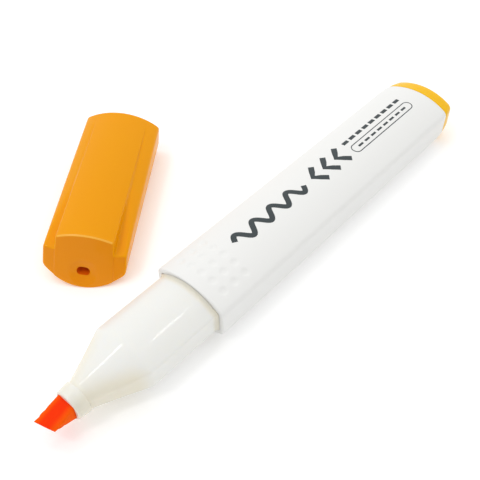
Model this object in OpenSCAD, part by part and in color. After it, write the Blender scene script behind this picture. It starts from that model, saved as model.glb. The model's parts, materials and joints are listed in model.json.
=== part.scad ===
// Flat-bodied highlighter with a chisel nib. The cap lies off beside the pen.
// Millimetres, +Z up. The pen's axis runs along X with the nib towards -X.
// The origin is at the middle of the footprint, on the surface the pen lies on.

/* [Barrel] */
// Width of the barrel across its two flat sides
barrel_w = 18; // [16:0.5:22]
// Height of the barrel over its two crowned faces
barrel_h = 11.6; // [11:0.1:13]
// Height of the flat side where it meets the crowned faces
barrel_side_h = 6.4; // [5:0.1:7]
// Length from the front rim to the joint with the rear plug
barrel_len = 83; // [70:1:95]
// Wall thickness of the barrel
barrel_wall = 1.2; // [1:0.1:1.4]

/* [Grip dimples] */
// Number of dimple rows along the barrel
dimple_cols = 3; // [1:1:6]
// Number of dimples across the barrel
dimple_rows = 5; // [1:1:5]
// Distance between dimples along the barrel
dimple_pitch_x = 3.2; // [2.5:0.1:4]
// Distance between dimples across the barrel
dimple_pitch_y = 2.9; // [2.2:0.1:3]
// Radius of a dimple at the surface
dimple_r = 0.9; // [0.5:0.1:1.1]
// Depth of a dimple
dimple_depth = 0.3; // [0.2:0.05:0.5]

/* [Rear plug] */
// Length of the plug that shows behind the barrel
plug_len = 4.2; // [3:0.1:6]
// Length of the spigot that goes into the barrel
plug_spigot_len = 7; // [4:0.5:10]

/* [Front section] */
// How far the front section is set in from the barrel's flat side
front_step_side = 1.5; // [1.4:0.1:2]
// How far the front section is set in from the barrel's crown
front_step_top = 0.9; // [0.9:0.1:1.2]
// Length of the straight part in front of the rim
front_straight_len = 17.6; // [15:0.1:20]
// Length of the taper from the straight part to the collar
front_taper_len = 11; // [8:0.5:12]
// Length of the round collar that grips the nib
collar_len = 2.8; // [2:0.1:4]
// Radius of the collar where it leaves the taper
collar_back_r = 3.4; // [3.3:0.05:3.6]
// Radius of the collar at its front face
collar_front_r = 3.15; // [3:0.05:3.25]

/* [Nib] */
// Width of the chisel nib
nib_w = 4.4; // [4:0.1:4.6]
// Thickness of the nib where it leaves the collar
nib_t = 3.8; // [3:0.1:4]
// Length of nib that shows at its longer corner
nib_len = 5.8; // [5:0.1:6.5]
// How much shorter the other corner of the nib is
nib_slant = 1.2; // [0:0.1:2]
// Thickness of the nib at its writing edge
nib_edge_t = 1.0; // [0.6:0.1:1.5]

/* [Ink reservoir] */
// Play left between the fibre core and the plug
core_play = 0.8; // [0.4:0.1:3]
// Width of the fibre core
core_w = 13; // [10:0.5:13]
// Height of the fibre core
core_h = 7.6; // [6:0.2:7.6]
// Thickness of the film sleeve round the core
film_t = 0.25; // [0.2:0.05:0.4]

/* [Cap] */
// Width of the cap
cap_w = 17.8; // [17.6:0.1:18]
// Height of the cap
cap_h = 11.4; // [11.4:0.1:11.6]
// Length of the cap from its open rim to the middle of its closed end
cap_len = 43.5; // [43:0.1:46]
// Width of the raised panel on the cap
panel_w = 12.2; // [12:0.1:12.4]
// Lean of the cap's closed end from upright
end_rake = 22; // [15:1:24]
// Angle of the loose cap from the pen's axis, seen from above
cap_yaw = 36.4; // [25:0.1:60]
// Angle that the loose cap is rolled on its crowned underside
cap_roll = 6; // [0:1:10]
// Distance that the cap travels when it is pushed onto the pen
cap_travel = 37; // [30:1:40]

/* [Hidden] */

$fn = 64;
eps = 0.01;
gap = 0.05;
far = 200;

// Small features shared by the shells
corner_r = 1;
arc_steps = 16;
corner_steps = 4;

// The barrel and the plug narrow together over their last stretch
tail_len = plug_len + 4;
tail_plan_r = 27;
tail_side_r = 43;
tail_end_x = barrel_len + plug_len;
barrel_in_w = barrel_w - 2 * barrel_wall;
barrel_in_h = barrel_h - 2 * barrel_wall;
barrel_in_side_h = barrel_side_h - barrel_wall;

// Front section
front_w = barrel_w - 2 * front_step_side;
front_h = barrel_h - 2 * front_step_top;
front_side_h = 4.6;
front_wall = 1.1;
front_spigot_len = 8;
front_land_t = 0.8;
front_land_out = 0.5;
bore_corner_r = 0.8;
seat_len = 9;
seat_inset = 0.2;
plug_seam = 0.02;
plug_floor = 0.5;
plug_wall = 1.4;
dimple_start_x = 3.7;
front_len = front_straight_len + front_taper_len;
front_nose_x = -front_len - collar_len;
front_cavity_x = -14;
nib_pocket_len = 4.5;
front_nose_half_w = 2.9;
front_nose_half_h = 3.1;
land_clearance = 0.12;
cavity_roof_t = 0.4;
cavity_side_h = front_side_h - 1.2;
cavity_corner_r = 0.6;

// Nib and its round shank
nib_tip_x = front_nose_x - nib_len;
shank_r = 1.8;
shank_end_x = front_spigot_len + 5;
shank_play = 0.1;
nib_overlap = 0.1;
nib_wedge_start = 0.8;

// Reservoir
core_x = front_spigot_len + 0.2;
core_len = barrel_len - plug_spigot_len - core_play - core_x;
core_side_h = core_h / 2;
core_corner_r = 1.2;

// Cap: its own frame has x = 0 at the middle of the closed end and x = cap_len at the open rim
cap_side_h = 5.4;
cap_plan_r = 32.8;
cap_x = -7.4;
cap_y = 24.1;
cap_bore_w = 15.2;
cap_bore_h = 9.98;
cap_bore_side_h = 4.8;
cap_bore_x = 20.4;
cap_deep_w = 10.6;
cap_deep_h = 8.8;
cap_deep_side_h = 4.4;
cap_deep_x = 4.4;
panel_out = 0.35;
wall_draft = 0.1;
ledge_z = 1.4;
ledge_rise = 7;
shoulder_dive = 1.5;
shoulder_end_x = 38.5;
vent_w = 2.7;
vent_h = 1.6;
vent_z = -2.45;
vent_dish_r = 3;
vent_dish_depth = 0.2;
rib_t = 1;
rib_out = 4;
rib_start_x = cap_deep_x - 1;
cut_run = 10;

// Inner cap that seals on the collar when the cap is on
seal_x = 4.9;
seal_len = 11;
seal_out_r = 4.3;
seal_in_r = 3.55;
seal_end_t = 0.8;

// Footprint of the whole object, which sets the origin
min_x = nib_tip_x;
max_x = tail_end_x;
min_y = -barrel_w / 2;
cap_crown_r = crown_r(cap_w, cap_h, cap_side_h);
cap_corner_reach = cap_w / 2 - corner_r;
cap_corner_z = cap_h / 2 - cap_crown_r + sqrt((cap_crown_r - corner_r) ^ 2 - cap_corner_reach ^ 2);
cap_reach = cap_corner_reach * cos(cap_roll) + cap_corner_z * sin(cap_roll) + corner_r;
cap_axis_z = cap_crown_r - (cap_crown_r - cap_h / 2) * cos(cap_roll);
max_y = cap_y + cap_len * sin(cap_yaw) + cap_reach * cos(cap_yaw);
mid_x = (min_x + max_x) / 2;
mid_y = (min_y + max_y) / 2;

// Radius of a crowned face of width w whose arc rises by (h - side_h) / 2
function crown_r(w, h, side_h) =
    let (rise = (h - side_h) / 2) ((w / 2) ^ 2 + rise ^ 2) / (2 * rise);

// Points on a circular arc
function arc(cx, cy, r, from, to, steps) =
    [for (i = [0:steps]) let (a = from + (to - from) * i / steps) [cx + r * cos(a), cy + r * sin(a)]];

// One quarter of the flat oval: side corner, then the crown up to the middle
function quarter(w, h, side_h, r) =
    let (R = crown_r(w, h, side_h),
         cz = h / 2 - R,
         reach = w / 2 - r,
         tilt = acos(reach / (R - r)),
         cy = cz + (R - r) * sin(tilt))
    concat(arc(reach, cy, r, 0, tilt, corner_steps),
           [for (i = [1:arc_steps]) let (a = tilt + (90 - tilt) * i / arc_steps)
               [R * cos(a), cz + R * sin(a)]]);

function reversed(list) = [for (i = [len(list) - 1:-1:0]) list[i]];

// Flat oval: two flat sides, two crowned faces and rounded corners between them
module flat_oval(w, h, side_h, r) {
    q = quarter(w, h, side_h, r);
    half = concat(q, [for (p = reversed(q)) if (p[0] > eps) [-p[0], p[1]]]);
    polygon(concat(half, [for (p = reversed(half)) [p[0], -p[1]]]));
}

// A 2D shape in (Y, Z) drawn out along X from x0 to x1
module along_x(x0, x1) {
    translate([x0, 0, 0]) rotate([90, 0, 90]) linear_extrude(x1 - x0) children();
}

// A 2D outline in (X, Y) seen from above
module plan_outline() {
    translate([0, 0, -far / 2]) linear_extrude(far) children();
}

// A 2D outline in (X, Z) seen from the side
module side_outline() {
    translate([0, far / 2, 0]) rotate([90, 0, 0]) linear_extrude(far) children();
}

// Rectangle whose rear end narrows along two large arcs
module tail_outline(half, r) {
    x0 = tail_end_x - tail_len;
    sweep = asin(tail_len / r);
    top = arc(x0, half - r, r, 90, 90 - sweep, 8);
    polygon(concat([[-1, -half], [-1, half]], top, [for (p = reversed(top)) [p[0], -p[1]]]));
}

// The outside of the barrel and the plug as one shape
module tail_envelope() {
    intersection() {
        along_x(0, tail_end_x) flat_oval(barrel_w, barrel_h, barrel_side_h, corner_r);
        plan_outline() tail_outline(barrel_w / 2, tail_plan_r);
        side_outline() tail_outline(barrel_h / 2, tail_side_r);
    }
}

module barrel_bore(x0, x1, inset) {
    along_x(x0, x1) flat_oval(barrel_in_w - 2 * inset, barrel_in_h - 2 * inset, barrel_in_side_h, bore_corner_r);
}

// Dimples on one crowned face, cut by small spheres
module dimple_field() {
    sphere_r = (dimple_r ^ 2 + dimple_depth ^ 2) / (2 * dimple_depth);
    R = crown_r(barrel_w, barrel_h, barrel_side_h);
    for (i = [0:dimple_cols - 1]) {
        for (j = [0:dimple_rows - 1]) {
            y = (j - (dimple_rows - 1) / 2) * dimple_pitch_y;
            lean = asin(y / R);
            translate([dimple_start_x + i * dimple_pitch_x, 0, barrel_h / 2 - R])
                rotate([-lean, 0, 0])
                    translate([0, 0, R + sphere_r - dimple_depth]) sphere(sphere_r, $fn = 24);
        }
    }
}

module on_pen() {
    translate([-mid_x, -mid_y, barrel_h / 2]) children();
}

module on_cap() {
    translate([cap_x - mid_x, cap_y - mid_y, cap_axis_z])
        rotate([cap_roll, 0, cap_yaw])
            children();
}

module barrel() {
    color("#F0F0EE") on_pen() difference() {
        intersection() {
            tail_envelope();
            translate([0, -far / 2, -far / 2]) cube([barrel_len, far, far]);
        }
        barrel_bore(-eps, barrel_len - seat_len, 0);
        barrel_bore(barrel_len - seat_len - eps, barrel_len + eps, seat_inset);
        dimple_field();
        mirror([0, 0, 1]) dimple_field();
    }
}

module rear_plug() {
    color("#FBBC10") on_pen() union() {
        intersection() {
            tail_envelope();
            translate([barrel_len + plug_seam, -far / 2, -far / 2]) cube([plug_len, far, far]);
        }
        difference() {
            barrel_bore(barrel_len - plug_spigot_len, barrel_len + 1, seat_inset + gap);
            barrel_bore(barrel_len - plug_spigot_len - eps, barrel_len - plug_floor, plug_wall);
        }
    }
}

// Outline of the front section's taper for a given half size at the straight part
module front_outline(half, nose_half) {
    polygon([[0, -half], [0, half], [-front_straight_len, half], [-front_len, nose_half],
             [-front_len, -nose_half], [-front_straight_len, -half]]);
}

module front_body() {
    intersection() {
        along_x(-front_len, 0) flat_oval(front_w, front_h, front_side_h, bore_corner_r);
        plan_outline() front_outline(front_w / 2, front_nose_half_w);
        side_outline() front_outline(front_h / 2, front_nose_half_h);
    }
}

module front_section() {
    color("#EEEEEB") on_pen() difference() {
        union() {
            front_body();
            // low land that stops against the barrel's rim
            along_x(-front_land_t, -land_clearance)
                flat_oval(front_w + 2 * front_land_out, front_h + 2 * front_land_out,
                          front_side_h + front_land_out, bore_corner_r);
            barrel_bore(-land_clearance - eps, front_spigot_len, gap);
            translate([-front_len + eps, 0, 0]) rotate([0, -90, 0])
                cylinder(h = collar_len + eps, r1 = collar_back_r, r2 = collar_front_r);
        }
        // hollow behind the taper, open to the reservoir
        along_x(front_cavity_x, front_spigot_len + eps)
            flat_oval(front_w - 2 * front_wall, front_h - 2 * (front_wall + cavity_roof_t), cavity_side_h,
                      cavity_corner_r);
        translate([front_nose_x - eps, 0, 0]) rotate([0, 90, 0]) cylinder(h = far / 4, r = shank_r + gap);
        translate([front_nose_x - eps, -nib_w / 2 - gap, -nib_t / 2 - gap])
            cube([nib_pocket_len, nib_w + 2 * gap, nib_t + 2 * gap]);
    }
}

// Chisel seen from the side: it thins to its writing edge
module nib_side() {
    back = front_nose_x + nib_pocket_len - nib_overlap;
    polygon([[back, -nib_t / 2], [front_nose_x - nib_wedge_start, -nib_t / 2], [nib_tip_x, -nib_edge_t / 2],
             [nib_tip_x, nib_edge_t / 2], [front_nose_x - nib_wedge_start, nib_t / 2], [back, nib_t / 2]]);
}

// Chisel seen from above: its writing edge is slanted
module nib_plan() {
    back = front_nose_x + nib_pocket_len - nib_overlap;
    polygon([[back, -nib_w / 2], [nib_tip_x + nib_slant, -nib_w / 2],
             [nib_tip_x, nib_w / 2], [back, nib_w / 2]]);
}

module nib() {
    color("#FF4A05") on_pen() union() {
        intersection() {
            plan_outline() nib_plan();
            side_outline() nib_side();
        }
        translate([front_nose_x + nib_pocket_len - 2 * nib_overlap, 0, 0]) rotate([0, 90, 0])
            cylinder(h = shank_end_x - front_nose_x - nib_pocket_len + 2 * nib_overlap, r = shank_r);
    }
}

module ink_reservoir() {
    color("#F2A65A") on_pen() difference() {
        along_x(core_x, core_x + core_len) flat_oval(core_w, core_h, core_side_h, core_corner_r);
        translate([core_x - eps, 0, 0]) rotate([0, 90, 0])
            cylinder(h = shank_end_x - core_x + shank_play, r = shank_r + gap);
    }
}

module reservoir_sleeve() {
    color("#FFD9A8") on_pen() difference() {
        along_x(core_x, core_x + core_len)
            flat_oval(core_w + 2 * (film_t + gap), core_h + 2 * (film_t + gap), core_side_h, core_corner_r);
        along_x(core_x - eps, core_x + core_len + eps)
            flat_oval(core_w + 2 * gap, core_h + 2 * gap, core_side_h, core_corner_r);
    }
}

// Everything behind the closed end, which is a leaning cone turned about an upright axis
module behind_cap_end() {
    top = cap_h / 2 + 1;
    reach = top * tan(end_rake);
    translate([cap_plan_r, 0, 0]) rotate_extrude($fn = 96)
        polygon([[0, -top], [cap_plan_r + reach, -top], [cap_plan_r - reach, top], [0, top]]);
    translate([cap_plan_r, -far / 2, -far / 2]) cube([far, far, far]);
}

// Outside of the cap. The middle of its closed end stands proud of the shoulders
module cap_outside() {
    intersection() {
        along_x(-cut_run, cap_len) flat_oval(cap_w, cap_h, cap_side_h, corner_r);
        union() {
            translate([panel_out, 0, 0]) behind_cap_end();
            intersection() {
                behind_cap_end();
                translate([-cut_run, -panel_w / 2, -cap_h]) cube([far, panel_w, 2 * cap_h]);
            }
        }
    }
}

// What is left beside the raised panel: the crown dives a little towards the closed end, then meets a ledge
module shoulder() {
    crown_z = cap_h / 2 - cap_crown_r - (shoulder_end_x + 1) * tan(shoulder_dive);
    intersection() {
        translate([0, 0, crown_z]) rotate([0, 90 - shoulder_dive, 0])
            cylinder(h = far, r = cap_crown_r, center = true);
        translate([0, 0, ledge_z]) rotate([0, -ledge_rise, 0])
            translate([-2 * cut_run, -cap_w, -2 * far]) cube([far, 2 * cap_w, 2 * far]);
    }
}

module shoulder_cut() {
    difference() {
        translate([-cut_run, panel_w / 2 + wall_draft, 0])
            cube([shoulder_end_x + cut_run, cap_w, cap_h]);
        shoulder();
    }
}

module cap_vent() {
    for (side = [-1, 1])
        translate([-cut_run, side * (vent_w - vent_h) / 2, vent_z]) rotate([0, 90, 0])
            cylinder(h = 2 * cut_run, r = vent_h / 2);
    translate([-cut_run, -(vent_w - vent_h) / 2, vent_z - vent_h / 2])
        cube([2 * cut_run, vent_w - vent_h, vent_h]);
    translate([vent_z * tan(end_rake), 0, vent_z]) rotate([0, end_rake - 90, 0])
        translate([0, 0, -vent_dish_depth]) cylinder(h = cut_run, r = vent_dish_r);
}

module cap_shell() {
    color("#F09E05") on_cap() difference() {
        cap_outside();
        shoulder_cut();
        mirror([0, 1, 0]) shoulder_cut();
        along_x(cap_bore_x, cap_len + eps) flat_oval(cap_bore_w, cap_bore_h, cap_bore_side_h, bore_corner_r);
        difference() {
            along_x(cap_deep_x, cap_bore_x + eps) flat_oval(cap_deep_w, cap_deep_h, cap_deep_side_h, bore_corner_r);
            // ribs that hold the inner cap from each side
            for (side = [-1, 1])
                translate([rib_start_x, side * (seal_out_r + gap) + (side < 0 ? -rib_out : 0), -rib_t / 2])
                    cube([seal_len, rib_out, rib_t]);
        }
        cap_vent();
    }
}

module inner_cap() {
    color("#E8700C") on_cap() difference() {
        translate([seal_x, 0, 0]) rotate([0, 90, 0]) cylinder(h = seal_len, r = seal_out_r);
        translate([seal_x + seal_end_t, 0, 0]) rotate([0, 90, 0]) cylinder(h = seal_len, r = seal_in_r);
    }
}

barrel();
rear_plug();
front_section();
nib();
ink_reservoir();
reservoir_sleeve();
cap_shell();
inner_cap();
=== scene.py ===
"""Flat highlighter with its cap lying off beside it: drawn pieces, materials, light and camera."""
import json
import math

import bmesh
import bpy
from mathutils import Matrix, Quaternion, Vector


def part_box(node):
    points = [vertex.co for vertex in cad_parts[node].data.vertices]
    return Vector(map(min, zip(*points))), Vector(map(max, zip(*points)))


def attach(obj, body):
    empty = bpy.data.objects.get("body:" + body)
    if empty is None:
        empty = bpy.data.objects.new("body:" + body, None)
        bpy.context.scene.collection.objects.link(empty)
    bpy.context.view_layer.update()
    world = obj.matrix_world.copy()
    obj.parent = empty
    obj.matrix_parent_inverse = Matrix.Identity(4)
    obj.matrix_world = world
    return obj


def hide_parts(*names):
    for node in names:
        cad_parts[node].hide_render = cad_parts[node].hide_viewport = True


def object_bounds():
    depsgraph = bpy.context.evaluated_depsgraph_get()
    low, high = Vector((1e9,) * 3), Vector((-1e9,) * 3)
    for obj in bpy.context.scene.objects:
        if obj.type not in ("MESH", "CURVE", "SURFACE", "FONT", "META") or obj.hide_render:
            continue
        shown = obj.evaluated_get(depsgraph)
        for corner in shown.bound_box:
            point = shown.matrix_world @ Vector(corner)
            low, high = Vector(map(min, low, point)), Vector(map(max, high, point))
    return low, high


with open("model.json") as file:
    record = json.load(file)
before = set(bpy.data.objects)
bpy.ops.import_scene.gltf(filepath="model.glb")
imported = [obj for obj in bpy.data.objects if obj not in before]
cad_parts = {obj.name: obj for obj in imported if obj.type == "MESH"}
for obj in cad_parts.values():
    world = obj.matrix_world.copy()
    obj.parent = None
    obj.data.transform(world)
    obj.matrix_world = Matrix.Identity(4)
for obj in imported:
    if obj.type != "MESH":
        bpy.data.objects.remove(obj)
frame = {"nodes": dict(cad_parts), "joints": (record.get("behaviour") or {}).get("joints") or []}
cad_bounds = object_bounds()

MM = 0.001

# ---------------------------------------------------------------- places read from the frame

barrel_lo, barrel_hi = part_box("barrel")
plug_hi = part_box("rear_plug")[1]
nib_lo, nib_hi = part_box("nib")
push_axis = Vector(frame["joints"][0]["axis"]).normalized()

PEN_X = barrel_lo.x / MM
PEN_Y = (barrel_lo.y + barrel_hi.y) / 2 / MM
PEN_Z = (barrel_lo.z + barrel_hi.z) / 2 / MM

# ---------------------------------------------------------------- sizes in millimetres
# In the pen, x = 0 is the barrel's front rim and x grows towards the plug.
# In the cap, x = 0 is its closed end and x grows towards its mouth.

# Points round each section: on a corner, on half a crown, on a flat side.
# The names in _PITCH and _XS say where rings stand along a piece.
BARREL_POINTS = (8, 64, 4)
FRONT_POINTS = (8, 24, 4)
NIB_POINTS = (8, 16, 4)

BARREL_W = (barrel_hi.y - barrel_lo.y) / MM
BARREL_H = (barrel_hi.z - barrel_lo.z) / MM
BARREL_LEN = (barrel_hi.x - barrel_lo.x) / MM
BARREL_SIDE = 6.4
BARREL_WALL = 1.2
BARREL_CORNER = 1.6
BORE_CORNER = 0.8
BORE_SHOWN = 4.0
BORE_LEAD = 0.15
BORE_FLARE = 0.1
RIM_R = 0.3
GRIP_START = 1.6
GRIP_END = 12.2
RIM_PITCH = 0.65
GRIP_PITCH = 0.16
PLAIN_START = 14
PLAIN_PITCH = 4
TAIL_PITCH = 0.5
TAIL_END = (plug_hi.x - barrel_lo.x) / MM
TAIL_LEN = 8.2
TAIL_PLAN_R = 27.0
TAIL_SIDE_R = 43.0

# The seam between barrel and plug: (distance from the seam, inset) of each ring
BARREL_SEAM = ((0.06, 0.03), (0.0, 0.12), (0.0, 1.1), (4.0, 1.1))
PLUG_SEAM = ((0.05, 1.2), (0.0, 0.2), (0.05, 0.06))
SEAM_GAP = 0.02
SEAM_MARGIN = 0.12
PLUG_EDGE_R = 0.9
PLUG_LEAD = 0.15
PLUG_PITCH = 0.4
PLUG_FACE = (0.7, 0.4)

DIMPLE_COLS = 3
DIMPLE_ROWS = 5
DIMPLE_START = 3.7
DIMPLE_PITCH_X = 3.2
DIMPLE_PITCH_Y = 2.9
DIMPLE_R = 1.05
DIMPLE_DEPTH = 0.22
DIMPLE_FLAT = 0.25
DIMPLE_FADE = 0.9

FRONT_W = BARREL_W - 3.0
FRONT_H = BARREL_H - 1.8
FRONT_SIDE = 4.6
FRONT_CORNER = 0.8
FRONT_STRAIGHT = 17.6
FRONT_LEN = 28.6
TAPER_W = 5.8
TAPER_H = 6.2
TAPER_SIDE = 1.9
TAPER_CORNER = 2.0
SPIGOT = (15.4, 9.0, 5.2, 0.8)
SPIGOT_SHOWN = 3.0
LAND_START = 0.1
LAND_OUT = 0.5
LAND_LEN = 0.75
LAND_STEPS = 8
LAND_POWER = 2.2
STRAIGHT_START = -1.5
STRAIGHT_PITCH = 1.2
STRAIGHT_MARGIN = 0.8
BEND_XS = (0.5, 0.15, -0.15, -0.5)
TAPER_START = 1.2
TAPER_PITCH = 0.8
TAPER_MARGIN = 0.3
TAPER_LAST = 0.15
COLLAR_LEN = 2.8
COLLAR_BACK_R = 3.4
COLLAR_FRONT_R = 3.15
COLLAR_EDGE_R = 0.3
COLLAR_MIDDLE = 1.5
# (along, inset) of the collar's rings by the taper, and (along, play, sharpness) of the nib's hole
COLLAR_BACK = ((0.0, 0.25), (0.1, 0.06), (0.3, 0.0))
NIB_HOLE = ((0.0, 0.25, 8), (0.12, 0.08, 10), (1.5, 0.08, 10))
NOSE_X = -FRONT_LEN - COLLAR_LEN

NIB_W = (nib_hi.y - nib_lo.y) / MM
NIB_T = (nib_hi.z - nib_lo.z) / MM
NIB_TIP = (nib_lo.x - barrel_lo.x) / MM
NIB_SLANT = 1.2
NIB_EDGE = 0.3
NIB_DROP = 0.15
NIB_SHOULDER = 0.15
NIB_SHANK_XS = (3.0, 1.0, 0.0, -NIB_SHOULDER)
NIB_FACE = (0.8, 0.4)
NIB_STEPS = 14
NIB_POWER = 7
NIB_SPREAD = (4.4, 3.8, 2.6, 0.5)

CAP_LEN = 43.5
CAP_W = 17.8
CAP_H = 11.4
CAP_SIDE = 5.4
CAP_ROLL = 6.0
CAP_PLAN_R = 32.8
RAKE_ANGLE = math.radians(22)
CAP_RAKE = math.tan(RAKE_ANGLE)
COS_RAKE = math.cos(RAKE_ANGLE)
CAP_EDGE_R = 0.25
CAP_EDGE_STEPS = 5
MOUTH_STEPS = 4
END_WALL = 4.4
END_SECTION_X = 1.2
SETTLE_LEN = 16.0
CAP_PITCH = 1.5
MOUTH_MARGIN = 0.3
SETTLE_XS = (0.7, 1.2, 2, 3, 4.5, 6, 8, 10, 12, 14)

PANEL_HALF = 6.1
PANEL_OUT = 0.18
PANEL_STEP_W = 0.3
LIP_BACK = 0.25
LIP_OUT = 0.03
LIP_DROP = 0.3
WALL_OUT = 0.16
KNEE_OUT = 0.2
FOOT_OUT = 0.75
FOOT_RISE = 0.6
LEDGE_Z = 1.4
LEDGE_SLOPE = math.tan(math.radians(7))
SHOULDER_DIVE = math.tan(math.radians(1.5))
SHOULDER_END = 39.5
SHOULDER_BLEND = 0.25
SIDE_ROUND = 0.6
NEARLY = 1e-6

# Points along each stretch of half a cap section: crown, panel wall, ledge, corner, side
CROWN_N = 16
WALL_N = 12
LEDGE_N = 10
CORNER_N = 6
SIDE_N = 8

VENT_Z = -2.45
VENT_W = 2.7
VENT_H = 1.6
VENT_LIP = 0.15
VENT_LIP_STEPS = 3
DISH_R = 3.0
DISH_DEPTH = 0.7
DISH_RINGS = 9
FACE_RINGS = 7
EDGE_RINGS = 3
STEP_YS = (5.95, 6.1, 6.18, 6.25, 6.32, 6.4, 6.55)
LATE_SHARE = 0.9
LATE_PITCH = 0.012

MOUTH_W = 15.2
MOUTH_H = 9.98
MOUTH_SIDE = 4.8
MOUTH_LEAD = 0.15
MOUTH_XS = (38, 32, 26, 20.6)
DEEP_W = 10.6
DEEP_H = 8.8
DEEP_XS = (20.4, 16, 12, 8, 4.6)
DEEP_ROUND = 0.2

PRINT_LIFT = 0.03
PRINT_SINK = 0.05
PRINT_Y = 0.4
CHEVRONS = 3
CHEVRON_X = 40.0
CHEVRON_PITCH = 4.3
CHEVRON_ARM = 1.3
DASHES = 9
PILL_DASHES = 8
PILL_Y = -1.0


def cap_frame():
    """Matrix from the cap's own millimetres, with z = 0 on its axis, to the frame's metres."""
    across = Vector((-push_axis.y, push_axis.x, 0))
    shell = frame["nodes"]["cap_shell"].data.vertices
    seal = frame["nodes"]["inner_cap"].data.vertices
    mouth = max(v.co.dot(push_axis) for v in shell)
    sideways = [v.co.dot(across) for v in seal]
    heights = [v.co.z for v in seal]
    middle = (max(sideways) + min(sideways)) / 2
    level = (max(heights) + min(heights)) / 2
    origin = push_axis * (mouth - CAP_LEN * MM) + across * middle
    turn = Matrix((push_axis, across, Vector((0, 0, 1)))).transposed().to_4x4()
    roll = Matrix.Rotation(math.radians(CAP_ROLL), 4, "X")
    return Matrix.Translation((origin.x, origin.y, level)) @ turn @ roll @ Matrix.Scale(MM, 4)


PEN = Matrix.Translation((PEN_X * MM, PEN_Y * MM, PEN_Z * MM)) @ Matrix.Scale(MM, 4)
CAP = cap_frame()


# ---------------------------------------------------------------- outlines

def between(a, b, t):
    return a + (b - a) * t


def step(t):
    """Smooth rise from 0 to 1."""
    t = max(0.0, min(1.0, t))
    return t * t * (3 - 2 * t)


def soft_min(a, b, k):
    """The lesser of two values, with the change from one to the other rounded over k."""
    h = max(0.0, min(1.0, 0.5 + 0.5 * (b - a) / k))
    return b + (a - b) * h - k * h * (1 - h)


def stations(start, end, pitch):
    """Places from start to end, both included, about a pitch apart."""
    count = max(1, round((end - start) / pitch))
    return [start + (end - start) * i / count for i in range(count + 1)]


def downwards(start, end, pitch):
    """Places from start down towards end, a pitch apart, without reaching it."""
    return [start - pitch * i for i in range(math.ceil((start - end) / pitch))]


def fillet(r, steps):
    """(along, inset) pairs round a quarter circle, from the end face to the wall."""
    turns = [math.pi / 2 * i / steps for i in range(steps + 1)]
    return [(r * (1 - math.cos(a)), r * (1 - math.sin(a))) for a in turns]


def bezier(a, b, c, n):
    """Points after a, up to and including c, on a curve that b pulls."""
    out = []
    for i in range(1, n + 1):
        t = i / n
        out.append(tuple((1 - t) ** 2 * p + 2 * t * (1 - t) * q + t * t * r for p, q, r in zip(a, b, c)))
    return out


def crown_radius(w, h, side):
    """Radius of the crowned face of a section w wide and h high, with flat sides of height side."""
    rise = (h - side) / 2
    return ((w / 2) ** 2 + rise ** 2) / (2 * rise)


def crown(y, w, h, side):
    """Height of the crowned face at y."""
    big = crown_radius(w, h, side)
    return h / 2 - big + math.sqrt(big * big - y * y)


def quarter_oval(w, h, side, r, corner_n, crown_n):
    """(y, z) points round the side corner, then along the crown up to its middle."""
    big = crown_radius(w, h, side)
    centre = h / 2 - big
    reach = w / 2 - r
    tilt = math.acos(reach / (big - r))
    corner_z = centre + (big - r) * math.sin(tilt)
    points = []
    for i in range(corner_n + 1):
        a = tilt * i / corner_n
        points.append((reach + r * math.cos(a), corner_z + r * math.sin(a)))
    for i in range(1, crown_n + 1):
        a = tilt + (math.pi / 2 - tilt) * i / crown_n
        points.append((big * math.cos(a), centre + big * math.sin(a)))
    return points


def flat_oval(w, h, side, r, corner_n, crown_n, side_n):
    """Closed outline of a flat-sided, crowned section, anticlockwise from the +Y side."""
    quarter = quarter_oval(w, h, side, r, corner_n, crown_n)
    edge_z = quarter[0][1]
    plus_side = [(w / 2, edge_z * (2 * i / side_n - 1)) for i in range(1, side_n)]
    top = quarter + [(-y, z) for y, z in reversed(quarter[:-1])]
    minus_side = [(-y, -z) for y, z in plus_side]
    bottom = [(-y, -z) for y, z in top]
    return top + minus_side + bottom + plus_side


def round_outline(r, like):
    """Circle with its points at the same angles as another outline's."""
    return [(r * math.cos(math.atan2(z, y)), r * math.sin(math.atan2(z, y))) for y, z in like]


def rect_outline(w, h, power, like):
    """Rounded rectangle, sharper with more power, with its points at another outline's angles."""
    out = []
    for y, z in like:
        a = math.atan2(z, y)
        c, s = math.cos(a), math.sin(a)
        k = ((abs(c) / (w / 2)) ** power + (abs(s) / (h / 2)) ** power) ** (-1 / power)
        out.append((k * c, k * s))
    return out


def inset_outline(outline, d):
    """The outline moved inwards by d."""
    out = []
    n = len(outline)
    for i, (y, z) in enumerate(outline):
        ay, az = outline[i - 1]
        by, bz = outline[(i + 1) % n]
        ty, tz = by - ay, bz - az
        length = math.hypot(ty, tz)
        out.append((y + d * tz / length, z - d * ty / length))
    return out


def blend_outlines(a, b, shares):
    """Outline between two others. Each point has its own share of the way from a to b."""
    return [(between(p[0], q[0], t), between(p[1], q[1], t)) for p, q, t in zip(a, b, shares)]


def ring_at(x, outline):
    return [Vector((x, y, z)) for y, z in outline]


# ---------------------------------------------------------------- mesh helpers

def mesh_object(name, rings, place, cap_start=False, cap_end=False, closed=False, sharp=40):
    """Joins rings of equal length into one skin. A capped end gets one face, and a closed skin
    joins its last ring to its first."""
    bm = bmesh.new()
    rows = [[bm.verts.new(place @ p) for p in ring] for ring in rings]
    n = len(rings[0])
    pairs = list(zip(rows, rows[1:]))
    if closed:
        pairs.append((rows[-1], rows[0]))
    for a, b in pairs:
        for i in range(n):
            j = (i + 1) % n
            bm.faces.new((a[i], a[j], b[j], b[i]))
    if cap_start:
        bm.faces.new(rows[0])
    if cap_end:
        bm.faces.new(rows[-1])
    face_outwards(bm)
    obj = linked_object(name, bm)
    smooth(obj, sharp)
    return obj


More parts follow.
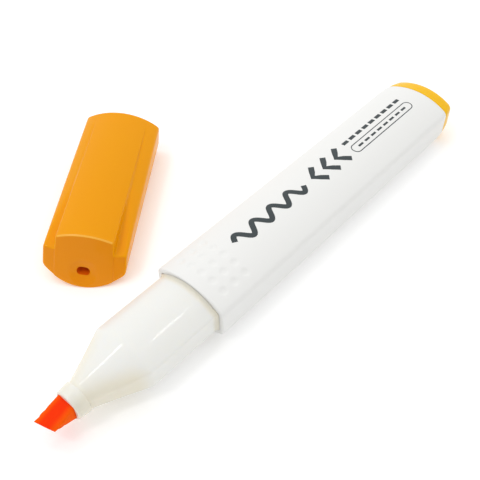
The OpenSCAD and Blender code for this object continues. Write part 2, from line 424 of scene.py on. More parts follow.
def face_outwards(bm):
    bmesh.ops.recalc_face_normals(bm, faces=bm.faces)
    if bm.calc_volume(signed=True) < 0:
        bmesh.ops.reverse_faces(bm, faces=bm.faces)


def linked_object(name, bm):
    """A new object in the scene, with the mesh that was built."""
    mesh = bpy.data.meshes.new(name)
    bm.to_mesh(mesh)
    bm.free()
    obj = bpy.data.objects.new(name, mesh)
    bpy.context.scene.collection.objects.link(obj)
    return obj


def smooth(obj, sharp):
    """Smooth shading, with edges sharper than that many degrees left sharp."""
    for face in obj.data.polygons:
        face.use_smooth = True
    obj.data.set_sharp_from_angle(angle=math.radians(sharp))


def tint_bands(obj, ring_n, bands, index, start=0, count=None):
    """Gives faces in the bands between rings another of the piece's materials."""
    for band in bands:
        first = band * ring_n + start
        for face in obj.data.polygons[first:first + (count or ring_n)]:
            face.material_index = index


def finish_piece(obj, body, slot, materials, *stands_for):
    for material in materials:
        obj.data.materials.append(material)
    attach(obj, body)
    if stands_for:
        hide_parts(*stands_for)


# ---------------------------------------------------------------- materials

# Where the milky plastic is coloured warmer low on the taper's sides, in millimetres ahead of the taper's
# start and above the pen's axis
TAPER_WARM_LEAD = 1.0
LOW_WARM_TOP = 4.2
LOW_WARM_BOTTOM = 2.0
# The rest are in metres
TAPER_WARM_RUN = 0.004
# Painted shade: how far back from the barrel's rim the crevice there is coloured darker and warmer
RIM_SHADE_START = 0.0016
RIM_SHADE_END = 0.0004
# Painted light: how far off the pen's axis the nib's sides turn lighter and more orange
FLANK_LIGHT_START = 0.0006
FLANK_LIGHT_END = 0.0024
BUMP_HEIGHT = 0.0002
# Noise scales per metre, and the spread of roughness about its mean
DRIFT_SCALE = 45.0
GRAIN_SCALE = 4000.0
GLOSS_SPREAD = 0.03
FIBRE_STRETCH = (60.0, 1400.0, 1400.0)


def new_material(name):
    mat = bpy.data.materials.new(name)
    mat.use_nodes = True
    tree = mat.node_tree
    shader = tree.nodes["Principled BSDF"]
    return mat, tree, shader


def add(tree, kind, **values):
    """A new node. Each value goes to the input of that name, or else to the node's own setting."""
    node = tree.nodes.new(kind)
    for key, value in values.items():
        if key in node.inputs:
            node.inputs[key].default_value = value
        else:
            setattr(node, key, value)
    return node


def plastic(name, colour, tint, rough, coat=0.0, specular=0.5, bump=0.02, subsurface=0.0):
    """Moulded plastic: slight colour drift, fine grain in the gloss and a little surface texture."""
    mat, tree, shader = new_material(name)
    coords = add(tree, "ShaderNodeTexCoord")
    drift = add(tree, "ShaderNodeTexNoise", Scale=DRIFT_SCALE, Detail=3.0)
    fine = add(tree, "ShaderNodeTexNoise", Scale=GRAIN_SCALE, Detail=4.0)
    mix = add(tree, "ShaderNodeMix", data_type="RGBA")
    mix.inputs["A"].default_value = (*colour, 1)
    mix.inputs["B"].default_value = (*tint, 1)
    gloss = add(tree, "ShaderNodeMapRange")
    gloss.inputs["To Min"].default_value = rough - GLOSS_SPREAD
    gloss.inputs["To Max"].default_value = rough + GLOSS_SPREAD
    texture = add(tree, "ShaderNodeBump", Strength=bump, Distance=BUMP_HEIGHT)
    link = tree.links.new
    link(coords.outputs["Object"], drift.inputs["Vector"])
    link(coords.outputs["Object"], fine.inputs["Vector"])
    link(drift.outputs["Fac"], mix.inputs["Factor"])
    link(mix.outputs["Result"], shader.inputs["Base Color"])
    link(fine.outputs["Fac"], gloss.inputs["Value"])
    link(gloss.outputs["Result"], shader.inputs["Roughness"])
    link(fine.outputs["Fac"], texture.inputs["Height"])
    link(texture.outputs["Normal"], shader.inputs["Normal"])
    shader.inputs["Specular IOR Level"].default_value = specular
    shader.inputs["Coat Weight"].default_value = coat
    shader.inputs["Coat Roughness"].default_value = 0.06
    shader.inputs["Coat IOR"].default_value = 1.4
    if subsurface:
        shader.inputs["Subsurface Weight"].default_value = subsurface
        shader.inputs["Subsurface Radius"].default_value = (1.0, 0.9, 0.7)
        shader.inputs["Subsurface Scale"].default_value = 0.002
    return mat


def rim_shade_and_low_taper_tint(mat, warm):
    """Paints shade into the milky plastic: a darker, warmer tone in the crevice at the rim that meets the
    barrel. Also a warmer tone low on the taper's sides.
    """
    tree = mat.node_tree
    shader = tree.nodes["Principled BSDF"]
    link = tree.links.new
    coords = add(tree, "ShaderNodeTexCoord")
    parts = add(tree, "ShaderNodeSeparateXYZ")
    link(coords.outputs["Object"], parts.inputs["Vector"])

    def ramp(axis, start, end):
        level = add(tree, "ShaderNodeMapRange", interpolation_type="SMOOTHSTEP")
        level.inputs["From Min"].default_value = start
        level.inputs["From Max"].default_value = end
        link(parts.outputs[axis], level.inputs["Value"])
        return level.outputs["Result"]

    def combine(operation, a, b):
        node = add(tree, "ShaderNodeMath", operation=operation)
        link(a, node.inputs[0])
        link(b, node.inputs[1])
        return node.outputs["Value"]

    rim_x = PEN_X * MM
    rim = ramp("X", rim_x - RIM_SHADE_START, rim_x - RIM_SHADE_END)
    taper_x = rim_x - (FRONT_STRAIGHT - TAPER_WARM_LEAD) * MM
    taper = ramp("X", taper_x, taper_x - TAPER_WARM_RUN)
    low = ramp("Z", (PEN_Z + LOW_WARM_TOP) * MM, (PEN_Z + LOW_WARM_BOTTOM) * MM)
    places = combine("MAXIMUM", rim, combine("MULTIPLY", taper, low))
    mix = add(tree, "ShaderNodeMix", data_type="RGBA", blend_type="MULTIPLY")
    mix.inputs["B"].default_value = (*warm, 1)
    plain = shader.inputs["Base Color"].links[0].from_socket
    link(places, mix.inputs["Factor"])
    link(plain, mix.inputs["A"])
    link(mix.outputs["Result"], shader.inputs["Base Color"])


def paint_flank_light(mat, warm):
    """Painted light: turns the nib's colour lighter and more orange from its middle towards its two sides,
    for light shining through the fibre there.
    """
    tree = mat.node_tree
    shader = tree.nodes["Principled BSDF"]
    link = tree.links.new
    coords = add(tree, "ShaderNodeTexCoord")
    parts = add(tree, "ShaderNodeSeparateXYZ")
    offset = add(tree, "ShaderNodeMath", operation="SUBTRACT")
    offset.inputs[1].default_value = PEN_Y * MM
    size = add(tree, "ShaderNodeMath", operation="ABSOLUTE")
    level = add(tree, "ShaderNodeMapRange", interpolation_type="SMOOTHSTEP")
    level.inputs["From Min"].default_value = FLANK_LIGHT_START
    level.inputs["From Max"].default_value = FLANK_LIGHT_END
    mix = add(tree, "ShaderNodeMix", data_type="RGBA")
    mix.inputs["B"].default_value = (*warm, 1)
    plain = shader.inputs["Base Color"].links[0].from_socket
    link(coords.outputs["Object"], parts.inputs["Vector"])
    link(parts.outputs["Y"], offset.inputs[0])
    link(offset.outputs["Value"], size.inputs[0])
    link(size.outputs["Value"], level.inputs["Value"])
    link(level.outputs["Result"], mix.inputs["Factor"])
    link(plain, mix.inputs["A"])
    link(mix.outputs["Result"], shader.inputs["Base Color"])


def fibre(name, colour, dark):
    """Pressed fibre: streaks along the pen, matt and a little uneven."""
    mat, tree, shader = new_material(name)
    coords = add(tree, "ShaderNodeTexCoord")
    squeeze = add(tree, "ShaderNodeMapping")
    squeeze.inputs["Scale"].default_value = FIBRE_STRETCH
    streak = add(tree, "ShaderNodeTexNoise", Scale=1.0, Detail=5.0, Roughness=0.65)
    mix = add(tree, "ShaderNodeMix", data_type="RGBA")
    mix.inputs["A"].default_value = (*dark, 1)
    mix.inputs["B"].default_value = (*colour, 1)
    texture = add(tree, "ShaderNodeBump", Strength=0.35, Distance=BUMP_HEIGHT)
    link = tree.links.new
    link(coords.outputs["Object"], squeeze.inputs["Vector"])
    link(squeeze.outputs["Vector"], streak.inputs["Vector"])
    link(streak.outputs["Fac"], mix.inputs["Factor"])
    link(mix.outputs["Result"], shader.inputs["Base Color"])
    link(streak.outputs["Fac"], texture.inputs["Height"])
    link(texture.outputs["Normal"], shader.inputs["Normal"])
    shader.inputs["Roughness"].default_value = 0.75
    shader.inputs["Specular IOR Level"].default_value = 0.1
    return mat


# ---------------------------------------------------------------- barrel and plug

def tail_half(x, half, r):
    """Half size at x, where the barrel and plug narrow along a large arc."""
    run = max(0.0, x - (TAIL_END - TAIL_LEN))
    return half - r + math.sqrt(r * r - run * run)


def barrel_section(x, inset=0.0):
    half_w = tail_half(x, BARREL_W / 2, TAIL_PLAN_R) - inset
    half_h = tail_half(x, BARREL_H / 2, TAIL_SIDE_R) - inset
    side = BARREL_SIDE * half_h / (BARREL_H / 2)
    return flat_oval(2 * half_w, 2 * half_h, side, BARREL_CORNER - 0.5 * inset, *BARREL_POINTS)


def barrel_bore(grow=0.0):
    wall = BARREL_WALL - grow
    w = BARREL_W - 2 * wall
    h = BARREL_H - 2 * wall
    return flat_oval(w, h, BARREL_SIDE - wall, BORE_CORNER, *BARREL_POINTS)


def dimple_drop(x, y):
    """Depth of the grip dimples at a place on a crowned face."""
    big = crown_radius(BARREL_W, BARREL_H, BARREL_SIDE)
    deepest = 0.0
    for i in range(DIMPLE_COLS):
        for j in range(DIMPLE_ROWS):
            row = (j - (DIMPLE_ROWS - 1) / 2) * DIMPLE_PITCH_Y
            dx = x - DIMPLE_START - i * DIMPLE_PITCH_X
            dy = big * (math.asin(y / big) - math.asin(row / big))
            d = math.hypot(dx, dy) / DIMPLE_R
            if d < DIMPLE_FLAT + DIMPLE_FADE:
                deepest = max(deepest, DIMPLE_DEPTH * (1 - step((d - DIMPLE_FLAT) / DIMPLE_FADE)))
    return deepest


def grip_ring(x):
    """Barrel ring at x, with the dimples sunk into both crowned faces."""
    ring = ring_at(x, barrel_section(x))
    for p in ring:
        if abs(p.z) > BARREL_SIDE / 2:
            p.z -= math.copysign(dimple_drop(x, p.y), p.z)
    return ring


def make_barrel():
    xs = stations(RIM_R, GRIP_START, RIM_PITCH)[1:-1]
    xs += stations(GRIP_START, GRIP_END, GRIP_PITCH)
    xs += stations(PLAIN_START, TAIL_END - TAIL_LEN, PLAIN_PITCH)
    xs += stations(TAIL_END - TAIL_LEN, BARREL_LEN - SEAM_MARGIN, TAIL_PITCH)[1:]
    rings = [ring_at(x, barrel_bore()) for x in (BORE_SHOWN, BORE_LEAD)]
    rings.append(ring_at(0.0, barrel_bore(BORE_FLARE)))
    for along, inset in fillet(RIM_R, 4):
        rings.append(ring_at(along, barrel_section(along, inset)))
    for x in xs:
        gripped = GRIP_START < x < GRIP_END
        rings.append(grip_ring(x) if gripped else ring_at(x, barrel_section(x)))
    for along, inset in BARREL_SEAM:
        rings.append(ring_at(BARREL_LEN - along, barrel_section(BARREL_LEN, inset)))
    return mesh_object("barrel_body", rings, PEN)


def make_plug():
    start = BARREL_LEN + SEAM_GAP
    rings = [ring_at(start + along, barrel_section(start, inset)) for along, inset in PLUG_SEAM]
    for x in stations(start + PLUG_LEAD, TAIL_END - PLUG_EDGE_R, PLUG_PITCH):
        rings.append(ring_at(x, barrel_section(x)))
    for along, inset in fillet(PLUG_EDGE_R, 6)[::-1][1:]:
        rings.append(ring_at(TAIL_END - along, barrel_section(TAIL_END - along, inset)))
    last = rings[-1]
    for shrink in PLUG_FACE:
        rings.append([Vector((p.x, p.y * shrink, p.z * shrink)) for p in last])
    return mesh_object("rear_plug_body", rings, PEN, cap_start=True, cap_end=True)


# ---------------------------------------------------------------- front section and nib

def front_section(x, inset=0.0):
    """Section of the nib holder: flat sided as far as the taper, then towards a round nose."""
    t = min(1.0, max(0.0, (-x - FRONT_STRAIGHT) / (FRONT_LEN - FRONT_STRAIGHT)))
    w = between(FRONT_W, TAPER_W, t)
    h = between(FRONT_H, TAPER_H, t)
    side = between(FRONT_SIDE, TAPER_SIDE, t)
    corner = between(FRONT_CORNER, TAPER_CORNER, t)
    return flat_oval(w - 2 * inset, h - 2 * inset, side, corner, *FRONT_POINTS)


def holder_rings():
    """The spigot in the barrel, the flared land at the rim, the straight part and the taper."""
    spigot = flat_oval(*SPIGOT, *FRONT_POINTS)
    rings = [ring_at(x, spigot) for x in (SPIGOT_SHOWN, -LAND_START)]
    for i in range(LAND_STEPS + 1):
        f = i / LAND_STEPS
        swell = -LAND_OUT * (1 - f) ** LAND_POWER
        rings.append(ring_at(-LAND_START - LAND_LEN * f, front_section(0, swell)))
    xs = downwards(STRAIGHT_START, -FRONT_STRAIGHT + STRAIGHT_MARGIN, STRAIGHT_PITCH)
    xs += [x - FRONT_STRAIGHT for x in BEND_XS]
    xs += downwards(-FRONT_STRAIGHT - TAPER_START, -FRONT_LEN + TAPER_MARGIN, TAPER_PITCH)
    xs.append(-FRONT_LEN + TAPER_LAST)
    return rings + [ring_at(x, front_section(x)) for x in xs]


def collar_rings(like):
    """The round collar, its front edge and the hole that the nib comes out of."""
    rings = []
    for along, inset in COLLAR_BACK:
        rings.append(ring_at(-FRONT_LEN - along, round_outline(COLLAR_BACK_R - inset, like)))
    middle_r = (COLLAR_BACK_R + COLLAR_FRONT_R) / 2
    rings.append(ring_at(-FRONT_LEN - COLLAR_MIDDLE, round_outline(middle_r, like)))
    for along, inset in fillet(COLLAR_EDGE_R, 4)[::-1]:
        rings.append(ring_at(NOSE_X + along, round_outline(COLLAR_FRONT_R - inset, like)))
    for along, play, power in NIB_HOLE:
        rings.append(ring_at(NOSE_X + along, rect_outline(NIB_W + play, NIB_T + play, power, like)))
    return rings


def make_front():
    return mesh_object("front_section_body", holder_rings() + collar_rings(front_section(0)), PEN)


def nib_outline(w, t):
    return rect_outline(w, t, NIB_POWER, flat_oval(*NIB_SPREAD, *NIB_POINTS))


def make_nib():
    """Block nib that thins to a slanted writing edge."""
    wedge_x = NOSE_X - NIB_SHOULDER
    rings = [ring_at(NOSE_X + x, nib_outline(NIB_W, NIB_T)) for x in NIB_SHANK_XS]
    for i in range(1, NIB_STEPS + 1):
        f = i / NIB_STEPS
        ring = []
        for y, z in nib_outline(NIB_W, between(NIB_T, NIB_EDGE, f)):
            reach = NIB_TIP + NIB_SLANT * (0.5 - y / NIB_W)
            ring.append(Vector((between(wedge_x, reach, f), y, z - NIB_DROP * f)))
        rings.append(ring)
    for shrink in NIB_FACE:
        narrow = 0.9 + 0.1 * shrink
        sink = NIB_DROP * (1 - shrink)
        rings.append([Vector((p.x, p.y * narrow, p.z * shrink - sink)) for p in ring])
    return mesh_object("chisel_nib", rings, PEN, cap_start=True, cap_end=True, sharp=28)


# ---------------------------------------------------------------- cap

def shoulder(x, y):
    """Height of the cap's upper face beside the raised panel."""
    full = crown(y, CAP_W, CAP_H, CAP_SIDE)
    dived = full - SHOULDER_DIVE * max(0.0, SHOULDER_END - x)
    ledge = LEDGE_Z + LEDGE_SLOPE * x
    return soft_min(dived, ledge, SHOULDER_BLEND)


def evenly(start, end, n, height):
    """n points after start, up to end, at the heights that a function gives."""
    ys = [start + (end - start) * i / n for i in range(1, n + 1)]
    return [(y, height(y)) for y in ys]


def panel_wall(x, start, foot, lip):
    """The step from the raised panel down to the ledge beside it, in three short curves."""
    n = WALL_N // 3
    base = shoulder(x, foot)
    drop = max(0.0, lip - base)
    reach = min(LIP_DROP, drop * 0.5)
    below_lip = (PANEL_HALF + LIP_OUT, lip - reach)
    above_foot = (PANEL_HALF + WALL_OUT, min(lip - reach, base + min(FOOT_RISE, drop * 0.5)))
    middle = tuple((p + q) / 2 for p, q in zip(below_lip, above_foot))
    knee_y = PANEL_HALF + KNEE_OUT
    knee = (knee_y, between(base, shoulder(x, knee_y), 0.5))
    points = bezier(start, (PANEL_HALF, lip), below_lip, n)
    points += bezier(below_lip, middle, above_foot, n)
    points += bezier(above_foot, knee, (foot, base), n)
    return points


def half_top(x, w, h, side, panel):
    """Upper outline from the middle of the face to the top of the side: (y, z) points."""
    def height(y):
        return shoulder(x, y) if panel else crown(y, w, h, side)

    edge = PANEL_HALF - LIP_BACK
    foot = PANEL_HALF + FOOT_OUT
    half = w / 2
    points = [(edge * i / CROWN_N, crown(edge * i / CROWN_N, w, h, side)) for i in range(CROWN_N + 1)]
    if panel:
        points += panel_wall(x, points[-1], foot, crown(PANEL_HALF, w, h, side))
    else:
        points += evenly(edge, foot, WALL_N, height)
    points += evenly(foot, half - SIDE_ROUND, LEDGE_N, height)
    sharp = height(half - NEARLY)
    points += bezier(points[-1], (half, sharp), (half, sharp - SIDE_ROUND), CORNER_N)
    return points


def cap_section(x, w, h, side, panel=False):
    """Closed outline at x, clockwise from the top of the -Y side."""
    upper = half_top(x, w, h, side, panel)
    lower = half_top(x, w, h, side, False)
    high = upper[-1][1]
    low = -lower[-1][1]
    plus_side = [(w / 2, high + (low - high) * i / SIDE_N) for i in range(1, SIDE_N)]
    top = [(-y, z) for y, z in reversed(upper)] + upper[1:]
    bottom = [(y, -z) for y, z in reversed(lower)] + [(-y, -z) for y, z in lower[1:]]
    minus_side = [(-y, z) for y, z in reversed(plus_side)]
    return top + plus_side + bottom + minus_side


def outer_section(x, panel):
    return cap_section(x, CAP_W, CAP_H, CAP_SIDE, panel)


def dish(y, z):
    """Depth of the shallow round hollow about the vent."""
    d = math.hypot(y, (z - VENT_Z) / COS_RAKE) / DISH_R
    return DISH_DEPTH * max(0.0, 1 - d * d)


def nose_x(y, z):
    """The closed end's surface: a leaning cone, with the middle a little proud of the shoulders."""
    r = CAP_PLAN_R - CAP_RAKE * z
    set_back = PANEL_OUT * step((abs(y) - PANEL_HALF) / PANEL_STEP_W)
    return CAP_PLAN_R - math.sqrt(r * r - y * y) + set_back + dish(y, z)


def on_end(outline, back=0.0, bow=1.0):
    """Ring on the closed end's surface, moved back from it, with its bow scaled."""
    return [Vector((nose_x(y, z) * bow + back, y, z)) for y, z in outline]


def vent_outline(like, grow=0.0):
    """The vent's slot, with its points at the same angles about its middle as another outline's."""
    r = VENT_H / 2 + grow
    slot = (VENT_W - VENT_H) / 2
    out = []
    for y, z in like:
        a = math.atan2(z - VENT_Z, y)
        c, s = math.cos(a), math.sin(a)
        if abs(s) * slot > abs(c) * r:
            reach = r / abs(s)
        else:
            reach = slot * abs(c) + math.sqrt(r * r - (slot * s) ** 2)
        out.append((reach * c, VENT_Z + reach * s))
    return out


def dish_outline(like):
    """The dish's rim, with its points at the same angles about the vent as another outline's."""
    out = []
    for y, z in like:
        a = math.atan2(z - VENT_Z, y)
        out.append((DISH_R * math.cos(a), VENT_Z + DISH_R * COS_RAKE * math.sin(a)))
    return out


def ray_stops(start, end):
    """Shares of the way from the dish to the edge where the closed end gets its points."""
    a, b = abs(start[0]), abs(end[0])
    stops = []
    for k, y in enumerate(STEP_YS):
        late = LATE_SHARE + LATE_PITCH * k
        stops.append(min(late, (y - a) / (b - a)) if b > y else late)
    inner = [stops[0] * i / FACE_RINGS for i in range(FACE_RINGS)]
    outer = [stops[-1] + (1 - stops[-1]) * i / EDGE_RINGS for i in range(1, EDGE_RINGS)]
    return inner + stops + outer


def end_outlines(edge):
    """Outlines over the closed end, from the vent's lip to just inside the edge."""
    lip = vent_outline(edge, VENT_LIP)
    rim = dish_outline(edge)
    outlines = [blend_outlines(lip, rim, [i / DISH_RINGS] * len(edge)) for i in range(DISH_RINGS)]
    rays = [ray_stops(p, q) for p, q in zip(rim, edge)]
    return outlines + [blend_outlines(rim, edge, shares) for shares in zip(*rays)]


def closed_end_rings(end):
    """Rings from the inner end of the vent, out over its lip and across the closed end."""
    edge = inset_outline(end, CAP_EDGE_R)
    rings = [ring_at(END_WALL, vent_outline(edge))]
    for along, inset in fillet(VENT_LIP, VENT_LIP_STEPS)[::-1][:-1]:
        rings.append(on_end(vent_outline(edge, VENT_LIP - inset), along))
    return rings + [on_end(outline) for outline in end_outlines(edge)]


def outside_rings(end):
    """Rings round the closed end's edge, along the outside and round the mouth's edge."""
    rings = []
    for along, inset in fillet(CAP_EDGE_R, CAP_EDGE_STEPS):
        rings.append(on_end(inset_outline(end, inset), along))
    for x in SETTLE_XS:
        bow = 1 - step(x / SETTLE_LEN)
        rings.append(on_end(outer_section(x + END_SECTION_X * bow, True), x, bow))
    for x in stations(SETTLE_LEN, CAP_LEN - MOUTH_MARGIN, CAP_PITCH):
        rings.append(ring_at(x, outer_section(x, x < SHOULDER_END)))
    mouth = outer_section(CAP_LEN, False)
    for along, inset in fillet(CAP_EDGE_R, MOUTH_STEPS)[::-1]:
        rings.append(ring_at(CAP_LEN - along, inset_outline(mouth, inset)))
    return rings


def inside_rings():
    """Rings from the mouth down the bore, and down the narrower part that holds the liner."""
    bore = cap_section(CAP_LEN, MOUTH_W, MOUTH_H, MOUTH_SIDE)
    deep = [(y * DEEP_W / MOUTH_W, z * DEEP_H / MOUTH_H) for y, z in bore]
    rings = [ring_at(CAP_LEN, inset_outline(bore, -MOUTH_LEAD))]
    rings += [ring_at(x, bore) for x in (CAP_LEN - MOUTH_LEAD, *MOUTH_XS)]
    rings += [ring_at(x, deep) for x in DEEP_XS]
    rings.append(ring_at(END_WALL, inset_outline(deep, DEEP_ROUND)))
    return rings


def make_cap():
    """The cap in one closed skin, with four materials: 1 on the vent's walls (painted shade), 2 on the
    closed end (painted shade),
    3 on the rounded upper edge of the panel's end (a painted highlight), and 0 on all the rest."""
    end = outer_section(END_SECTION_X, True)
    closed_end = closed_end_rings(end)
    rings = closed_end + outside_rings(end) + inside_rings()
    obj = mesh_object("cap_body", rings, CAP, closed=True, sharp=35)
    n = len(end)
    edge_band = len(closed_end)
    edge_bands = range(edge_band, edge_band + CAP_EDGE_STEPS)
    beside_crown = WALL_N + LEDGE_N + CORNER_N
    tint_bands(obj, n, range(0, 1), 1)
    tint_bands(obj, n, range(1, edge_band), 2)
    tint_bands(obj, n, edge_bands, 3, beside_crown, 2 * CROWN_N)
    return obj


# ---------------------------------------------------------------- printed marks

def on_crown(x, y, lift):
    return Vector((x, y, crown(y, BARREL_W, BARREL_H, BARREL_SIDE) + lift))


def patch(bm, rows, closed=False):
    """A thin closed slab under a grid of (x, y) points."""
    top = [[bm.verts.new(PEN @ on_crown(x, y, PRINT_LIFT)) for x, y in row] for row in rows]
    low = [[bm.verts.new(PEN @ on_crown(x, y, -PRINT_SINK)) for x, y in row] for row in rows]
    n = len(rows)
    last = len(rows[0]) - 1
    for i in range(n if closed else n - 1):
        j = (i + 1) % n
        for k in range(last):
            bm.faces.new((top[i][k], top[j][k], top[j][k + 1], top[i][k + 1]))
            bm.faces.new((low[i][k + 1], low[j][k + 1], low[j][k], low[i][k]))
        for k in (0, last):
            bm.faces.new((top[i][k], low[i][k], low[j][k], top[j][k]))
    if not closed:
        for i in (0, n - 1):
            for k in range(last):
                bm.faces.new((top[i][k], top[i][k + 1], low[i][k + 1], low[i][k]))


def ribbon(bm, path, width, closed=False, across=4):
    """A printed stroke of even width along a path of (x, y) points, laid on the barrel's upper face."""
    n = len(path)
    rows = []
    for i, (x, y) in enumerate(path):
        a = path[i - 1] if closed or i else path[i]
        b = path[(i + 1) % n] if closed or i < n - 1 else path[i]
        tx, ty = b[0] - a[0], b[1] - a[1]
        length = math.hypot(tx, ty)
        nx, ny = -ty / length, tx / length
        rows.append([(x + nx * width * (k / across - 0.5), y + ny * width * (k / across - 0.5))
                     for k in range(across + 1)])
    patch(bm, rows, closed)


def wave_path(x0, x1, y0, swing, turns):
    steps = 24 * turns
    turn = 2 * math.pi * turns
    return [(x0 + (x1 - x0) * i / steps, y0 + swing * math.sin(turn * i / steps)) for i in range(steps + 1)]


def chevron_path(x, y, arm):
    return [(x + arm * abs(k), y + arm * k) for k in (2, 1, 0, -1, -2)]


def pill_path(x0, x1, y0, r):
    path = []
    for centre, start in ((x1 - r, -math.pi / 2), (x0 + r, math.pi / 2)):
        turns = [start + math.pi * i / 16 for i in range(17)]
        path += [(centre + r * math.cos(a), y0 + r * math.sin(a)) for a in turns]
    return path


def dash(bm, x, y, length, height):
    rows = [[(x + length * i / 3, y + height * (k / 3 - 0.5)) for k in range(4)] for i in range(4)]
    patch(bm, rows)


def make_print():
    """Plain marks where the pen is printed: a wavy stroke, chevrons, dashes and a pill outline."""
    bm = bmesh.new()
    ribbon(bm, wave_path(x0=14.0, x1=36.5, y0=PRINT_Y, swing=1.5, turns=4), width=1.25)
    for i in range(CHEVRONS):
        x = CHEVRON_X + i * CHEVRON_PITCH
        ribbon(bm, chevron_path(x, PRINT_Y, CHEVRON_ARM), width=1.35)
    for i in range(DASHES):
        dash(bm, x=53.6 + i * 2.65, y=2.1, length=1.9, height=0.95)
    ribbon(bm, pill_path(x0=53.5, x1=77.3, y0=PILL_Y, r=1.25), width=0.22, closed=True, across=2)
    for i in range(PILL_DASHES):
        dash(bm, x=55.6 + i * 2.55, y=PILL_Y, length=1.7, height=0.55)
    bmesh.ops.recalc_face_normals(bm, faces=bm.faces)
    obj = linked_object("barrel_print", bm)
    smooth(obj, 30)
    return obj


# ---------------------------------------------------------------- pieces

white = plastic("white_plastic", (0.85, 0.85, 0.83), (0.87, 0.87, 0.85), rough=0.42, bump=0.05)
milky = plastic("milky_plastic", (0.84, 0.84, 0.80), (0.87, 0.87, 0.84), rough=0.3,
                coat=0.6, specular=0.3, subsurface=0.3)
amber = plastic("amber_plastic", (0.93, 0.50, 0.004), (0.95, 0.54, 0.008), rough=0.3,
                coat=0.2, specular=0.05, subsurface=0.15)
orange = plastic("orange_plastic", (0.86, 0.325, 0.0), (0.88, 0.35, 0.001), rough=0.3,
                 coat=0.25, specular=0.03, subsurface=0.1)
# Painted shade: a deeper red-orange on the vent's walls inside the hole, also given to the inner cap that
# shows through the vent
vent_shade_and_liner_orange = plastic("vent_shade_and_liner_orange_plastic", (0.85, 0.13, 0.001), (0.88, 0.16, 0.002), rough=0.4,
                      specular=0.1)
# Painted shade: a darker orange on the closed end, which faces away from the light
end_shade_orange = plastic("end_shade_orange_plastic", (0.82, 0.265, 0.001), (0.84, 0.29, 0.002), rough=0.3,
                       coat=0.3, specular=0.05, subsurface=0.1)
# A paler orange, a painted highlight along the rounded edge of the panel's end
highlight_orange = plastic("highlight_orange_plastic", (0.97, 0.44, 0.02), (1.0, 0.50, 0.05), rough=0.25,
                      coat=0.4, subsurface=0.1)
nib_fibre = fibre("nib_fibre", (1.0, 0.05, 0.0), (0.97, 0.026, 0.0))
core_fibre = fibre("core_fibre", (0.95, 0.45, 0.15), (0.8, 0.3, 0.08))
ink = plastic("print_ink", (0.028, 0.042, 0.046), (0.022, 0.033, 0.037), rough=0.4, bump=0.03)
film = plastic("film_plastic", (0.95, 0.72, 0.5), (0.93, 0.68, 0.45), rough=0.3)

# Painted shade in the crevice at the rim, and a warmer tone low on the taper's sides
rim_shade_and_low_taper_tint(milky, (0.97, 0.92, 0.80))
# Painted light on the nib's two sides
paint_flank_light(nib_fibre, (1.0, 0.12, 0.0))

finish_piece(make_barrel(), "pen", "barrel", [white], "barrel")
finish_piece(make_plug(), "pen", "rear_plug", [amber], "rear_plug")
finish_piece(make_front(), "pen", "front_section", [milky], "front_section")
finish_piece(make_nib(), "pen", "nib", [nib_fibre], "nib")
finish_piece(make_cap(), "cap", "cap", [orange, vent_shade_and_liner_orange, end_shade_orange, highlight_orange], "cap_shell")
finish_piece(make_print(), "pen", "barrel", [ink])


def paint_node(name, material):
    mesh = frame["nodes"][name].data
    mesh.materials.clear()
    mesh.materials.append(material)


paint_node("inner_cap", vent_shade_and_liner_orange)
paint_node("ink_reservoir", core_fibre)
paint_node("reservoir_sleeve", film)

# ---------------------------------------------------------------- floor, light, camera

FLOOR_SIZE = 3.0
FLOOR_GLOW = 0.18
DOME_BRIGHT_SIDE = (0.35, 0.45, 0.82)
DOME_DIM = 0.16
DOME_BRIGHT = 1.13
CAMERA_FROM_RIM = Vector((-60.34, -66.6, 121.46))
CAMERA_YAW = 41.46
CAMERA_PITCH = 47.49
SENSOR_WIDTH = 36
LENS = 54.6
NEAR_CLIP = 0.01


def make_floor():
    """A pale paper floor that glows slightly, so that shadows on it stay faint."""
    bm = bmesh.new()
    corners = ((-1, -1), (1, -1), (1, 1), (-1, 1))
    bm.faces.new([bm.verts.new((x * FLOOR_SIZE, y * FLOOR_SIZE, 0)) for x, y in corners])
    floor = linked_object("floor", bm)
    floor.location.z = cad_bounds[0][2]
    mat, tree, shader = new_material("floor_paper")
    coords = add(tree, "ShaderNodeTexCoord")
    noise = add(tree, "ShaderNodeTexNoise", Scale=3.0)
    mix = add(tree, "ShaderNodeMix", data_type="RGBA")
    mix.inputs["A"].default_value = (0.93, 0.93, 0.93, 1)
    mix.inputs["B"].default_value = (0.95, 0.95, 0.95, 1)
    tree.links.new(coords.outputs["Object"], noise.inputs["Vector"])
    tree.links.new(noise.outputs["Fac"], mix.inputs["Factor"])
    tree.links.new(mix.outputs["Result"], shader.inputs["Base Color"])
    shader.inputs["Roughness"].default_value = 0.9
    shader.inputs["Emission Color"].default_value = (1, 1, 1, 1)
    shader.inputs["Emission Strength"].default_value = FLOOR_GLOW
    floor.data.materials.append(mat)


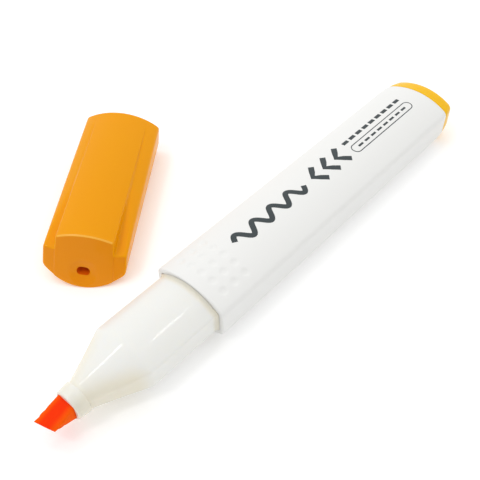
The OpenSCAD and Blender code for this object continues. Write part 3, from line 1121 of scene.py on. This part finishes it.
def make_world():
    """A soft studio dome, brighter behind the object than in front of it."""
    world = bpy.data.worlds.new("studio")
    world.use_nodes = True
    tree = world.node_tree
    background = tree.nodes["Background"]
    coords = add(tree, "ShaderNodeTexCoord")
    lean = add(tree, "ShaderNodeVectorMath", operation="DOT_PRODUCT")
    lean.inputs[1].default_value = DOME_BRIGHT_SIDE
    level = add(tree, "ShaderNodeMapRange")
    level.inputs["From Min"].default_value = -1
    level.inputs["From Max"].default_value = 1
    level.inputs["To Min"].default_value = DOME_DIM
    level.inputs["To Max"].default_value = DOME_BRIGHT
    tree.links.new(coords.outputs["Generated"], lean.inputs[0])
    tree.links.new(lean.outputs["Value"], level.inputs["Value"])
    tree.links.new(level.outputs["Result"], background.inputs["Strength"])
    background.inputs["Color"].default_value = (1, 1, 1, 1)
    bpy.context.scene.world = world


def strip_light(name, place, target, size, power, spin=0):
    """A rectangular light that faces its target, turned by spin degrees about its own axis."""
    data = bpy.data.lights.new(name, "AREA")
    data.shape = "RECTANGLE"
    data.size, data.size_y = size
    data.energy = power
    light = bpy.data.objects.new(name, data)
    light.location = place
    aim = (Vector(target) - Vector(place)).to_track_quat("-Z", "Y")
    light.rotation_euler = (aim @ Quaternion((0, 0, 1), math.radians(spin))).to_euler()
    bpy.context.scene.collection.objects.link(light)


def make_camera():
    """The camera, placed in millimetres from the barrel's front rim at floor level."""
    data = bpy.data.cameras.new("camera")
    data.sensor_width = SENSOR_WIDTH
    data.lens = LENS
    data.clip_start = NEAR_CLIP
    camera = bpy.data.objects.new("camera", data)
    camera.location = Vector((PEN_X, PEN_Y, 0)) * MM + CAMERA_FROM_RIM * MM
    camera.rotation_euler = (math.radians(90 - CAMERA_PITCH), 0, math.radians(CAMERA_YAW - 90))
    bpy.context.scene.collection.objects.link(camera)
    bpy.context.scene.camera = camera


make_floor()
make_world()
strip_light("taper_light", place=(-0.045, 0.35, 0.765), target=(-0.045, -0.024, 0),
            size=(0.13, 0.03), power=0.3)
strip_light("crown_light", place=(0.28, -0.08, 0.79), target=(-0.03, -0.02, 0),
            size=(0.06, 0.06), power=0.08)
strip_light("edge_light", place=(-0.38, 0.13, 0.79), target=(-0.03, 0, 0),
            size=(0.2, 0.05), power=0.7, spin=60)
make_camera()
bpy.context.scene.view_settings.view_transform = "Standard"
